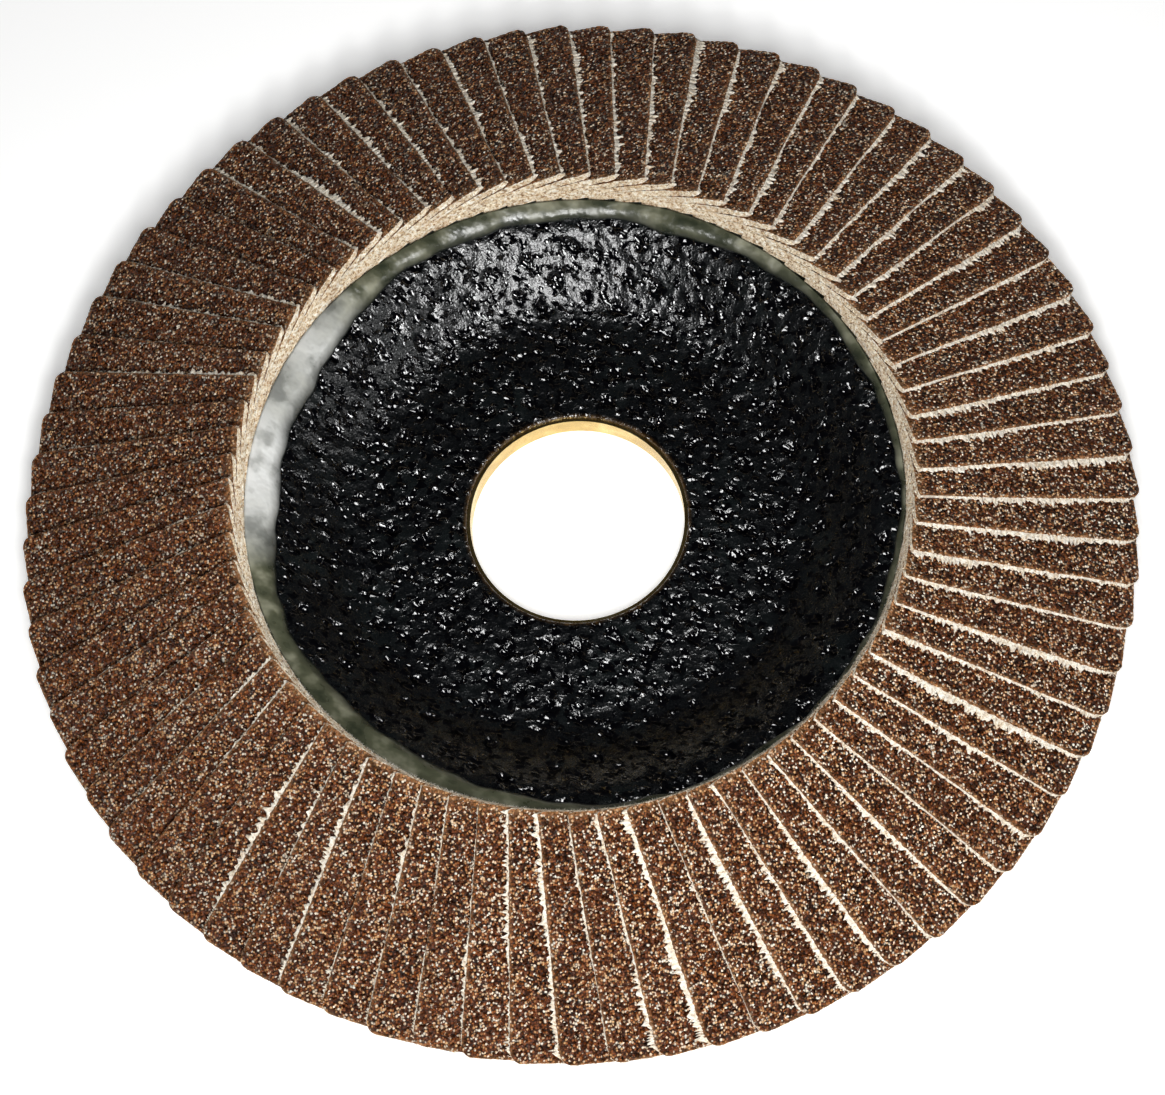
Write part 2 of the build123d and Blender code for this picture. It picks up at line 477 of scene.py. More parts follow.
WAVE_COUNTS = (1, 2, 3, 5, 9)  # waves in the fringe along one flap
FAINT_FROM, FAINT_TO = 135.0, 232.0
PATCHY_FROM, PATCHY_TO = 232.0, 325.0  # here some of the raised edges are hardly torn


def fringe_reach(chance, number):
    """How far the torn yarns stand out of a flap's raised edge, in each row."""
    angle = (FIRST_FLAP_ANGLE + number * FLAP_PITCH) % 360
    weakest = 0.3 if PATCHY_FROM < angle < PATCHY_TO else 0.7
    reach = (FAINT_REACH if is_faint(number) else FRINGE_REACH) * chance.uniform(weakest, 1.3)
    share = np.linspace(0, 1, FLAP_ROWS + 1)
    waves = sum(np.sin(2 * pi * (k * share + chance.random())) / k for k in WAVE_COUNTS)
    waves = 1 + WAVE_DEPTH * waves
    teeth = chance.gamma(TOOTH_EVENNESS, 1 / TOOTH_EVENNESS, FLAP_ROWS + 1)
    teeth = teeth * np.where(np.arange(FLAP_ROWS + 1) % 2, TOOTH_PAIR[1], TOOTH_PAIR[0])
    row_reach = reach * np.clip(waves, 0.15, None) * teeth
    if number in WIDE_EDGES:
        centre, extra = WIDE_EDGES[number]
        swell = np.exp(-(((share - centre) / WIDE_SPREAD) ** 2))
        row_reach = row_reach + extra * swell * chance.gamma(5.0, 0.15, share.shape)
    return np.clip(row_reach, *REACH_LIMITS)


def is_faint(number):
    """Whether a flap's raised edge looks away from the photograph's viewpoint, where it is hardly torn."""
    angle = (FIRST_FLAP_ANGLE + number * FLAP_PITCH) % 360
    return FAINT_FROM < angle < FAINT_TO


def turned(points, number):
    """Points of a flap along +X, turned to its place on the disc."""
    angle = radians(FIRST_FLAP_ANGLE + number * FLAP_PITCH)
    x, y, z = points.T
    return np.stack([x * cos(angle) - y * sin(angle), x * sin(angle) + y * cos(angle), z], -1)


FIBRE_RADIUS = 0.035
FIBRE_WEAR = 0.8
# How many fibres stand out of an edge or end, how long they are, and how much they lean sideways
EDGE_FIBRES = (44, 0.40, 1.0)
FAINT_FIBRES = (16, 0.30, 1.0)
INNER_FIBRES = (80, 0.36, 1.3)
OUTER_FIBRES = (14, 0.22, 0.6)


def fibres(chance, count, length, spread, at_end):
    """Loose fibre ends, as thin pyramids in a flap's own coordinates, on its raised edge or on an end."""
    places = chance.uniform(0, FLAP_LENGTH, count)
    heights = chance.uniform(0.32, 0.80, count)
    lengths = chance.uniform(0.4, 1.0, count) * length
    bend = chance.uniform(-spread, spread, (2, count))
    if at_end is None:
        base = np.stack([places, np.full(count, -HALF_WIDTH + 0.05), heights], -1)
        tip = base + np.stack([bend[0] * lengths, -lengths - 0.05, bend[1] * 0.1], -1)
        sides = np.array([[1, 0, 0], [-0.5, 0, 0.9], [-0.5, 0, -0.9]]) * FIBRE_RADIUS
    else:
        direction = -1 if at_end == 0 else 1
        across = chance.uniform(-HALF_WIDTH, HALF_WIDTH, count)
        base = np.stack([np.full(count, at_end - direction * 0.05), across, heights], -1)
        tip = base + np.stack([direction * (lengths + 0.05), bend[0] * lengths, bend[1] * 0.1], -1)
        sides = np.array([[0, 1, 0], [0, -0.5, 0.9], [0, -0.5, -0.9]]) * FIBRE_RADIUS
    tip[:, 2] = np.clip(tip[:, 2], 0.2, CLOTH_RISE - 0.02)
    points = np.concatenate([base[:, None] + sides, tip[:, None]], 1).reshape(-1, 3)
    corner = np.arange(count)[:, None, None] * 4
    faces = corner + np.array([[0, 2, 1], [0, 1, 3], [1, 2, 3], [2, 0, 3]])
    return points, faces.reshape(-1, 3)


# Loose threads that hang from a flap's outer end, as flap: (place across it, reach, sideways drift)
LOOSE_THREADS = {38: (-1.2, 0.7, 0.9), 48: (-2.6, 1.1, -0.8), 57: (-1.3, 1.4, 1.2)}
THREAD_STEPS, THREAD_WIDTH = 6, 0.05


def thread(across, reach, drift):
    """One loose thread, as a thin bent tube in a flap's own coordinates."""
    share = np.linspace(0, 1, THREAD_STEPS + 1)
    outward_place = 0.1 - reach * np.sin(share * pi / 2)
    middle = np.stack([outward_place, across + drift * share**2, 0.5 + 0.2 * share], -1)
    sides = np.array([[0, 1, 0], [0.5, -0.5, 0.8], [0.5, -0.5, -0.8]]) * THREAD_WIDTH
    points = (middle[:, None] + sides).reshape(-1, 3)
    ring = np.arange(len(points)).reshape(THREAD_STEPS + 1, 3)
    faces = grid_triangles(np.column_stack([ring, ring[:, :1]])[:, ::-1])
    return points, np.array(faces + [ring[0].tolist(), ring[-1, ::-1].tolist()])


FLAP_SHIFT = 0.12  # how far a flap strays sideways
FLAP_SKEW = 0.004  # how far it turns, as a slope
FLAP_SETBACK = 0.25  # how much shorter it is at its outer end


def cloth_part(shape, worn):
    """Points and faces with the cloth's slot and one amount of wear all over."""
    points, faces = shape
    return points, faces, np.ones(len(faces)), np.full(len(points), worn)


def make_flaps(grit, cloth):
    """One piece for each node of flaps, with its own grit, fringe and fibres on every flap."""
    triangles, slots = flap_faces()
    chance = np.random.default_rng(SEED)
    along, across, depth, _ = flap_points(chance, np.full(FLAP_ROWS + 1, 0.05))
    triangles = outward(flap_surface(along, across, depth), triangles)
    for number in range(FLAP_SETS):
        points, faces, face_slots, wear, tone, uv = [], [], [], [], [], []
        start = 0
        for flap in range(number * FLAPS_PER_SET, (number + 1) * FLAPS_PER_SET):
            along, across, depth, worn = flap_points(chance, fringe_reach(chance, flap))
            shift = chance.uniform(-FLAP_SHIFT, FLAP_SHIFT)
            skew = chance.uniform(-FLAP_SKEW, FLAP_SKEW)
            setback = chance.uniform(0.0, FLAP_SETBACK)
            parts = [(np.stack([along, across, depth], -1), triangles, slots, worn)]
            edge_fibres = FAINT_FIBRES if is_faint(flap) else EDGE_FIBRES
            for kind, end in ((edge_fibres, None), (INNER_FIBRES, FLAP_LENGTH), (OUTER_FIBRES, 0.0)):
                parts.append(cloth_part(fibres(chance, *kind, end), FIBRE_WEAR))
            if flap in LOOSE_THREADS:
                parts.append(cloth_part(thread(*LOOSE_THREADS[flap]), 1.0))
            shade = chance.uniform(0.0, 1.0)
            for part_points, part_faces, part_slots, part_worn in parts:
                a, b, c = part_points.T
                b = b + shift + skew * (a - FLAP_LENGTH / 2)
                a = a + setback * (1 - a / FLAP_LENGTH)
                points.append(turned(flap_surface(a, b, c), flap))
                uv.append(np.stack([a, b + c], -1) / FLAP_LENGTH)
                faces.append(part_faces + start)
                face_slots.append(part_slots)
                wear.append(part_worn)
                tone.append(np.full(len(part_points), shade))
                start += len(part_points)
        name = f"flaps_{number + 1:02d}"
        piece = make_piece(
            f"cloth_{name}",
            np.concatenate(points),
            np.concatenate(faces),
            [grit, cloth],
            np.concatenate(face_slots),
            attributes={"wear": np.concatenate(wear), "tone": np.concatenate(tone)},
            uv=np.concatenate(uv),
        )
        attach(piece, "root")
        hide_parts(name)


GRAIN_SIZE = 0.22
GRAIN_TILT = 1.6  # how steeply the grains' faces lean
GRAIN_RISE = 0.07  # how far the grains stand out of the gaps between them
WARM_PATCH = 5.0


def grit_material():
    """Brown fused alumina grains in resin. The palest grain colours are partly a painted highlight standing
    in for glints, and the gaps between the grains carry painted shade.
    """
    nodes = Nodes("grit")
    position = nodes.position()
    cells = nodes.add("TexVoronoi", {"Vector": position, "Scale": 1 / (GRAIN_SIZE * MM)})
    random = nodes.add("SeparateColor", {"Color": cells.outputs["Color"]})
    # This mask both sinks the gaps between the grains in the bump and darkens them with painted shade.
    gap_depth_and_shade = nodes.between(cells.outputs["Distance"], 0.36, 0.84)
    # The top of this ramp, pale tan to near white, is partly the grains' own colour and partly a painted
    # highlight: painted glints.
    grain = nodes.ramp(random.outputs[0], [
        (0.0, paint(24, 9, 3)),
        (0.28, paint(60, 27, 9)),
        (0.54, paint(108, 56, 25)),
        (0.70, paint(156, 95, 50)),
        (0.81, paint(218, 174, 124)),
        (1.0, paint(255, 251, 236)),
    ])
    broad = nodes.noise(WARM_PATCH, detail=3)
    warm = nodes.mix(nodes.between(broad, 0.35, 0.65, 0.0, 0.20), grain, paint(140, 78, 44))
    # Painted shade: the gaps between the grains are darkened to near black brown, as if shade fell there.
    gap_shaded = nodes.mix(gap_depth_and_shade, warm, paint(22, 9, 4))
    tone = nodes.between(nodes.attribute("tone"), 0.0, 1.0, 0.0, 0.10)
    toned = nodes.mix(tone, gap_shaded, paint(60, 38, 26))
    colour = nodes.mix(nodes.attribute("wear"), toned, paint(176, 128, 84))
    facet = nodes.add("VectorMath", {0: cells.outputs["Color"], 1: (0.5, 0.5, 0.5)}, operation="SUBTRACT")
    centre = nodes.add("VectorMath", {0: position, 1: cells.outputs["Position"]}, operation="SUBTRACT")
    tilt = nodes.add("VectorMath", {0: facet.outputs[0], 1: centre.outputs[0]}, operation="DOT_PRODUCT")
    slope = nodes.math("MULTIPLY", tilt.outputs["Value"], GRAIN_TILT / MM)
    raised = nodes.math("MULTIPLY", gap_depth_and_shade, -GRAIN_RISE)
    normal = nodes.bump(nodes.math("ADD", slope, raised), 1.0)
    roughness = nodes.between(random.outputs[1], 0.0, 1.0, 0.14, 0.65)
    return nodes.finish(Base_Color=colour, Roughness=roughness, Normal=normal, Specular_IOR_Level=0.25)


YARN_PITCH = 0.42
TUFT_SIZE = 0.30
STAIN_SIZE = 1.1
CLOTH_RELIEF = 0.12


def cloth_material():
    """Cream cotton cloth: warp and weft yarns, with amber size where it meets the grit."""
    nodes = Nodes("cloth")
    uv = nodes.add("UVMap", uv_map="Cloth").outputs["UV"]
    scaled = nodes.add("VectorMath", {0: uv, 1: (FLAP_LENGTH,) * 3}, operation="MULTIPLY").outputs[0]
    yarns = nodes.add(
        "TexWave",
        {
            "Vector": scaled,
            "Scale": 1 / (YARN_PITCH * pi),
            "Distortion": 9.0,
            "Detail": 2.0,
            "Detail Scale": 1.5,
        },
        bands_direction="X",
    )
    tufts = nodes.noise(TUFT_SIZE, detail=3, roughness=0.7)
    weave = nodes.math("MULTIPLY", yarns.outputs["Fac"], 0.22)
    height = nodes.math("ADD", weave, nodes.between(tufts, 0.32, 0.68, 0.0, 0.78))
    blotch = nodes.noise(STAIN_SIZE, detail=3)
    cream = nodes.ramp(height, [
        (0.08, paint(104, 74, 48)),
        (0.28, paint(184, 154, 116)),
        (0.50, paint(228, 210, 178)),
        (0.85, paint(250, 246, 234)),
    ])
    stained = nodes.mix(nodes.between(blotch, 0.45, 0.7, 0.0, 0.40), cream, paint(172, 130, 84))
    torn = nodes.math("MULTIPLY", nodes.attribute("wear"), 0.9)
    normal = nodes.bump(height, CLOTH_RELIEF)
    return nodes.finish(
        Base_Color=nodes.mix(torn, stained, paint(250, 246, 236)),
        Roughness=nodes.between(height, 0.2, 0.9, 0.95, 0.7),
        Normal=normal,
        Sheen_Weight=0.15,
        Sheen_Roughness=0.6,
    )


# Backing plate

MESH_ALONG = (1.83, 2.67)  # step from one opening of the glass mesh to the next
MESH_ASIDE = (2.71, -1.96)  # step from one row of openings to the next
PLATE_TURNS = 640
FACE_STEP = 0.27
BEND_STEPS = 12
RIPPLE_COUNT = 24


def rounded(corners, radii):
    """A line through corners in one plane, with an arc of the given radius at each inner corner."""
    line = [corners[0]]
    for before, corner, after, radius in zip(corners, corners[1:], corners[2:], radii):
        back = (Vector(before) - Vector(corner)).normalized()
        ahead = (Vector(after) - Vector(corner)).normalized()
        half_turn = (pi - back.angle(ahead)) / 2
        middle = Vector(corner) + (back + ahead).normalized() * (radius / cos(half_turn))
        start = Vector(corner) + back * radius * tan(half_turn) - middle
        end = Vector(corner) + ahead * radius * tan(half_turn) - middle
        for step in range(BEND_STEPS + 1):
            place = start.lerp(end, step / BEND_STEPS).normalized() * radius
            line.append(tuple(middle + place))
    return line + [corners[-1]]


def even(line, step):
    """The line again, with points about one step apart."""
    line = np.array(line)
    lengths = np.concatenate([[0], np.cumsum(np.hypot(*np.diff(line, axis=0).T))])
    places = np.linspace(0, lengths[-1], max(2, int(round(lengths[-1] / step)) + 1))
    return np.stack([np.interp(places, lengths, line[:, k]) for k in (0, 1)], -1)


def dish_line(first_radius, last_radius):
    """The plate's working-side face between two radii, as (radius, height) points."""
    corners = [
        (0.0, PLATE_THICKNESS),
        (HUB_FLAT_RADIUS, PLATE_THICKNESS),
        (CREST_RADIUS, CREST_HEIGHT),
        (PLATE_RADIUS, rim_height(PLATE_RADIUS)),
    ]
    line = np.array(even(rounded(corners, (HUB_BEND_RADIUS, CREST_BEND_RADIUS)), 0.05))
    return line[(line[:, 0] >= first_radius) & (line[:, 0] <= last_radius)]


def line_normals(line):
    """Unit normals on the working side of a line of (radius, height) points."""
    run = np.gradient(line, axis=0)
    normal = np.stack([-run[:, 1], run[:, 0]], -1)
    return normal / np.hypot(*normal.T)[:, None]


def ripples(chance, x, y, wavelength):
    """Smooth random waves over a plane, about 1 high."""
    total = np.zeros_like(x)
    for _ in range(RIPPLE_COUNT):
        direction = chance.uniform(0, 2 * pi)
        number = 2 * pi / (wavelength * chance.uniform(0.7, 1.5))
        total += np.cos(number * (x * cos(direction) + y * sin(direction)) + chance.uniform(0, 2 * pi))
    return total / sqrt(RIPPLE_COUNT / 2)


STRAND_ANGLE = -36.0  # direction in which the pits are drawn out
PIT_DEPTH = 0.42
PIT_LENGTH = 2.1
PIT_STRETCH = 1.25  # how much longer a pit is than it is wide
PIT_JITTER = 0.22  # how far a pit strays from its opening
PIT_STRENGTHS = (0.45, 1.15)  # least and greatest share of the depth
PIT_SIZES = (0.70, 1.15)  # least and greatest share of the length
PIT_DRIFT, PIT_DRIFT_LENGTH = 0.16, 1.3  # how far the pits' outlines wander, and over what length
MESH_SPAN = 60  # openings of the mesh to each side of the disc's middle


def mesh_pits(chance, x, y):
    """Depth of the pits that the resin leaves in the openings of the glass mesh."""
    (ax, ay), (bx, by) = MESH_ALONG, MESH_ASIDE
    area = ax * by - ay * bx
    first = np.rint((x * by - y * bx) / area).astype(int)
    second = np.rint((ax * y - ay * x) / area).astype(int)
    cells = (2 * MESH_SPAN, 2 * MESH_SPAN)
    strand = radians(STRAND_ANGLE)
    jitter = chance.normal(0, PIT_JITTER, (2,) + cells)
    strength = chance.uniform(*PIT_STRENGTHS, cells)
    size = chance.uniform(*PIT_SIZES, cells)
    total = np.zeros_like(x)
    for step_first in (-1, 0, 1):
        for step_second in (-1, 0, 1):
            i, j = first + step_first, second + step_second
            cell = (i + MESH_SPAN, j + MESH_SPAN)
            centre_x = i * ax + j * bx + jitter[0][cell]
            centre_y = i * ay + j * by + jitter[1][cell]
            aside_x, aside_y = x - centre_x, y - centre_y
            length = aside_x * cos(strand) + aside_y * sin(strand)
            width = aside_y * cos(strand) - aside_x * sin(strand)
            distance = np.hypot(length, width * PIT_STRETCH) / (PIT_LENGTH / 2 * size[cell])
            total += strength[cell] * np.clip(1 - distance**2, 0, None) ** 1.5
    return total


def revolved(section, turns):
    """Angles and a grid of point numbers for a closed section carried round the axis."""
    angles = np.linspace(0, 2 * pi, turns, endpoint=False)
    numbers = np.arange(len(section) * turns).reshape(len(section), turns)
    numbers = np.column_stack([numbers, numbers[:, :1]])
    return angles, np.vstack([numbers, numbers[:1]])


def quads(grid):
    return np.stack([grid[:-1, :-1], grid[:-1, 1:], grid[1:, 1:], grid[1:, :-1]], -1).reshape(-1, 4)


HOLE_LIP = 0.15  # the face's edge round the hole is broken this far
NOTCH_ANGLE, NOTCH_DEPTH, NOTCH_WIDTH = 294.9, 0.55, 1.3  # a chip in the edge of the hole, its width an angle
RAGGED_DEPTH, RAGGED_LENGTH = 0.05, 1.2  # waves in the edge of the hole
SKIN_WAVES = ((0.02, 1.2), (0.03, 2.6))  # height and length of the waves in the resin's face
WEAVE_HEIGHT, WEAVE_LENGTH, WEAVE_SINK = 0.06, 1.6, 0.10  # waves of the machine side, and how far it sinks
FADE_WIDTH, FADE_LEAST = 0.8, 0.25  # the face's relief fades to this share at the hole


def make_plate(material):
    """The dished plate with the relief of its glass mesh, and the raw edge of the hole."""
    chance = np.random.default_rng(SEED + 1)
    face = even(dish_line(PLATE_BORE + HOLE_LIP, ROOT_RADIUS + 0.5), FACE_STEP)
    rim = even(dish_line(ROOT_RADIUS + 0.7, PLATE_RADIUS - PLATE_EDGE_ROUND), 3.0)
    upper = dish_line(PLATE_BORE, PLATE_RADIUS)
    under = upper - PLATE_THICKNESS * line_normals(upper)
    inner_under = RING_FLANGE_RADIUS + RING_CLEARANCE
    back = even(under[(under[:, 0] > inner_under) & (under[:, 0] < PLATE_RADIUS - 0.2)][::-1], 1.1)
    seat = RING_WALL + RING_CLEARANCE
    outer_edge = np.array([
        (PLATE_RADIUS - 0.1, rim_height(PLATE_RADIUS) - 0.12),
        (PLATE_RADIUS, rim_height(PLATE_RADIUS) - 0.45),
        (PLATE_RADIUS, rim_height(PLATE_RADIUS) - PLATE_THICKNESS + 0.45),
    ])
    hole = np.array([
        (inner_under, 0.0),
        (inner_under, seat),
        (PLATE_BORE, seat),
        (PLATE_BORE, PLATE_THICKNESS - HOLE_LIP),
        (PLATE_BORE + 0.06, PLATE_THICKNESS - 0.05),
    ])
    section = np.concatenate([face, rim, outer_edge, back, hole])
    normals = np.zeros_like(section)
    normals[: len(face)] = line_normals(face)
    back_start = len(face) + len(rim) + len(outer_edge)
    normals[back_start : back_start + len(back)] = -line_normals(back[::-1])[::-1]
    angles, grid = revolved(section, PLATE_TURNS)
    radius, height = section[:, :1], section[:, 1:]
    x, y = radius * np.cos(angles), radius * np.sin(angles)
    relief = np.zeros_like(x)
    drift_x = PIT_DRIFT * ripples(chance, x, y, PIT_DRIFT_LENGTH)
    drift_y = PIT_DRIFT * ripples(chance, x, y, PIT_DRIFT_LENGTH)
    pits = mesh_pits(chance, x + drift_x, y + drift_y)
    skin = sum(size * ripples(chance, x, y, length) for size, length in SKIN_WAVES)
    relief[: len(face)] = (skin - PIT_DEPTH * pits)[: len(face)]
    fade = np.clip((section[: len(face), :1] - PLATE_BORE) / FADE_WIDTH, FADE_LEAST, 1)
    relief[: len(face)] *= fade
    weave = WEAVE_HEIGHT * ripples(chance, x, y, WEAVE_LENGTH) - WEAVE_SINK
    relief[back_start : back_start + len(back)] = weave[back_start : back_start + len(back)]
    relief[back_start + len(back) - 1] = 0
    radius = radius + normals[:, :1] * relief
    height = np.maximum(height + normals[:, 1:] * relief, 0.0)
    ragged = RAGGED_DEPTH * ripples(chance, x[:1], y[:1], RAGGED_LENGTH)[0]
    ragged = ragged + NOTCH_DEPTH * np.exp(-(((np.degrees(angles) - NOTCH_ANGLE) / NOTCH_WIDTH) ** 2))
    radius[[0, -1]] = radius[[0, -1]] + np.maximum(ragged, 0.0)
    height = height + 0 * angles
    points = np.stack([radius * np.cos(angles), radius * np.sin(angles), height], -1).reshape(-1, 3)
    raw = np.zeros(len(section))
    raw[back_start + len(back) :] = 1.0
    raw[0] = 0.3
    faces = quads(grid)
    piece = make_piece(
        "moulded_plate",
        points,
        faces,
        [material],
        np.zeros(len(faces)),
        smooth=True,
        attributes={"raw": np.repeat(raw, PLATE_TURNS), "pit": np.clip(pits, 0, 1).ravel()},
    )
    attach(piece, "root")
    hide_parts("backing_plate")


DIMPLE_SIZE, DIMPLE_DEPTH = 0.68, 0.42  # small shiny hollows in the resin
GROUND_GRAIN, GROUND_DEPTH = 0.24, 0.06  # the duller speckle between them
SPOT_SIZE = 0.9
BLOTCH_SIZE = 5.0


def plate_material():
    """Black phenolic resin over a glass mesh: wet-looking in the pits, duller and speckled between them."""
    nodes = Nodes("black_resin")
    pit = nodes.attribute("pit")
    wet = nodes.between(pit, 0.06, 0.28)
    cells = nodes.add(
        "TexVoronoi",
        {"Vector": nodes.stretched(STRAND_ANGLE, 1.5), "Scale": 1 / (DIMPLE_SIZE * MM), "Smoothness": 0.25},
        feature="SMOOTH_F1",
        voronoi_dimensions="2D",
    )
    dimples = nodes.math("POWER", cells.outputs["Distance"], 2.0)
    grain = nodes.noise(GROUND_GRAIN, detail=1, roughness=0.5)
    spots = nodes.between(nodes.noise(SPOT_SIZE, detail=2), 0.51, 0.57)
    shine = nodes.math("MAXIMUM", wet, spots)
    blotch = nodes.noise(BLOTCH_SIZE, detail=3)
    dull = nodes.ramp(nodes.between(blotch, 0.3, 0.7), [
        (0.0, paint(1, 2, 4)),
        (0.55, paint(4, 6, 8)),
        (1.0, paint(10, 15, 16)),
    ])
    resin = nodes.mix(shine, dull, paint(1, 1, 3))
    raw = nodes.ramp(nodes.noise(0.4, detail=2), [(0.3, paint(30, 19, 10)), (0.7, paint(84, 62, 32))])
    colour = nodes.mix(nodes.attribute("raw"), resin, raw)
    dry = nodes.between(grain, 0.3, 0.7, 0.32, 0.23)
    roughness = nodes.add("Mix", data_type="FLOAT")
    nodes.join(shine, roughness.inputs[0])
    nodes.join(dry, roughness.inputs[2])
    nodes.join(0.06, roughness.inputs[3])
    relief = nodes.math("MULTIPLY", dimples, nodes.between(shine, 0.0, 1.0, 0.15, 1.0))
    fine = nodes.math("MULTIPLY", grain, nodes.between(shine, 0.0, 1.0, 1.0, 0.1))
    normal = nodes.bump(fine, GROUND_DEPTH, normal=nodes.bump(relief, DIMPLE_DEPTH))
    return nodes.finish(
        Base_Color=colour,
        Roughness=roughness.outputs[0],
        Normal=normal,
        Specular_IOR_Level=0.7,
    )


# Adhesive

BEAD_RADIUS = ROOT_RADIUS - 0.1
BEAD_TURNS = 720
# How wide the bead lies on the dish wall, as (angle, width) all round
BEAD_WIDTHS = (
    (0, 0.7), (30, 0.9), (50, 1.4), (62, 2.0), (75, 1.8), (90, 1.7), (105, 1.8), (125, 2.2), (138, 3.0),
    (150, 3.3), (165, 3.1), (178, 3.0), (190, 2.0), (200, 2.0), (225, 2.5), (240, 2.3), (255, 1.3),
    (270, 0.9), (285, 0.7), (310, 0.6), (335, 0.5), (360, 0.6),
)
BEAD_WAVES = ((9, 0.12), (17, 0.12), (31, 0.09), (53, 0.05))  # waves in its width, as (count, size)
BEAD_LEAST = 0.35
BEAD_STEPS = 14
BEAD_RISE = 0.35  # height at the flap roots, as a share of the width
BEAD_HEIGHTS = (0.2, 1.05)  # limits of that height
BEAD_CROWN, CROWN_WIDTH = 0.42, 2.2  # how far a bead of this width or more bulges
CLEAR_DEPTH = 0.85  # thinner adhesive lets the plate show through

# How milky the adhesive is, as (angle, share): partly real milky resin and partly a painted highlight, a
# glare of light painted in as pale colour
BEAD_MILK_AND_GLARE = (
    (126, 0.0), (133, 0.4), (140, 0.7), (148, 0.45), (153, 0.55), (158, 0.9), (168, 1.0), (174, 0.75),
    (180, 0.3), (185, 0.0),
)


def make_bead(material):
    """The ring of adhesive: an uneven bead on the dish wall and a flat bed under the flaps."""
    chance = np.random.default_rng(SEED + 2)
    angles = np.linspace(0, 2 * pi, BEAD_TURNS, endpoint=False)
    places, widths = zip(*BEAD_WIDTHS)
    width = np.interp(np.degrees(angles), places, widths)
    for waves, size in BEAD_WAVES:
        width = width + size * np.sin(waves * angles + chance.uniform(0, 2 * pi))
    width = np.maximum(width, BEAD_LEAST)
    turn = np.degrees(angles)
    milk_and_glare = np.interp(turn, *zip(*BEAD_MILK_AND_GLARE))
    swell = 1 + 0.20 * np.sin(13 * angles + 1) + 0.14 * np.sin(29 * angles + 2)
    wall = dish_line(20.0, PLATE_RADIUS)
    toe_radius = BEAD_RADIUS - width
    toe_height = np.interp(toe_radius, wall[:, 0], wall[:, 1])
    bed = rim_height(BEAD_RADIUS) + BED_THICKNESS
    top = bed + np.clip(BEAD_RISE * width, *BEAD_HEIGHTS)
    rows = []
    for step in range(BEAD_STEPS + 1):
        share = step / BEAD_STEPS
        crown = BEAD_CROWN * np.sin(pi * share**0.8) * np.minimum(width / CROWN_WIDTH, 1.0) * swell
        line_radius = toe_radius + (BEAD_RADIUS - toe_radius) * share
        line_height = toe_height + (top - toe_height) * share
        slope = np.arctan2(top - toe_height, BEAD_RADIUS - toe_radius)
        line_radius = line_radius - crown * np.sin(slope)
        line_height = line_height + crown * np.cos(slope)
        floor = np.interp(line_radius, wall[:, 0], wall[:, 1])
        line_height = np.maximum(line_height, floor - 0.05)
        film = np.clip((line_height - floor) / CLEAR_DEPTH, 0, 1)
        rows.append((np.minimum(line_radius, BEAD_RADIUS), line_height, film))
    under = [
        (BEAD_RADIUS, bed),
        (PLATE_RADIUS, rim_height(PLATE_RADIUS) + BED_THICKNESS),
        (PLATE_RADIUS, rim_height(PLATE_RADIUS)),
        (CREST_RADIUS + 3.0, rim_height(CREST_RADIUS + 3.0) - 0.05),
    ]
    rows += [(np.full_like(angles, r), np.full_like(angles, z), np.ones_like(angles)) for r, z in under]
    sunk = toe_radius + 0.4
    rows.append((sunk, np.interp(sunk, wall[:, 0], wall[:, 1]) - 0.35, np.zeros_like(angles)))
    radius, height, film = (np.array([row[k] for row in rows]) for k in range(3))
    points = np.stack([radius * np.cos(angles), radius * np.sin(angles), height], -1).reshape(-1, 3)
    _, grid = revolved(rows, BEAD_TURNS)
    faces = quads(grid)
    piece = make_piece(
        "adhesive_bead",
        points,
        faces,
        [material],
        np.zeros(len(faces)),
        smooth=True,
        attributes={"film": film.ravel(), "milk_and_glare": np.tile(milk_and_glare, len(rows))},
    )
    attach(piece, "root")
    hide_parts("adhesive_ring")


CLOUD_SIZE = 2.4
RIPPLE_SIZE, RIPPLE_DEPTH = 1.5, 0.25


def adhesive_material():
    """Cured resin adhesive: olive and cloudy where thick, nearly black where the plate shows through, and
    pale where it is milky and where a glare of light is painted in.
    """
    nodes = Nodes("cured_adhesive")
    turned_place = nodes.stretched(STRAND_ANGLE, 1.2)
    cloud = nodes.noise(CLOUD_SIZE, detail=3, vector=turned_place)
    body = nodes.ramp(nodes.between(cloud, 0.3, 0.7), [
        (0.0, paint(44, 49, 36)),
        (0.5, paint(80, 82, 64)),
        (1.0, paint(138, 138, 118)),
    ])
    # Near white where the adhesive is milky; this pale colour is partly a painted highlight standing in for a
    # glare of light.
    cover = nodes.math("MULTIPLY", nodes.attribute("milk_and_glare"), nodes.between(cloud, 0.34, 0.50, 0.55, 1.0))
    milky_and_glare = nodes.mix(cover, body, paint(222, 223, 220))
    colour = nodes.mix(nodes.between(nodes.attribute("film"), 0.1, 0.95), paint(12, 17, 16), milky_and_glare)
    ripple = nodes.noise(RIPPLE_SIZE, detail=2, vector=turned_place)
    return nodes.finish(
        Base_Color=colour,
        Roughness=nodes.between(cloud, 0.3, 0.7, 0.22, 0.42),
        Normal=nodes.bump(ripple, RIPPLE_DEPTH),
        Coat_Weight=0.25,
        Coat_Roughness=0.25,
    )


# Centre ring

DRAWN_LINE, LINE_DEPTH = 0.08, 0.01  # the lines that drawing leaves round the bore
DULL_PATCH = 3.0


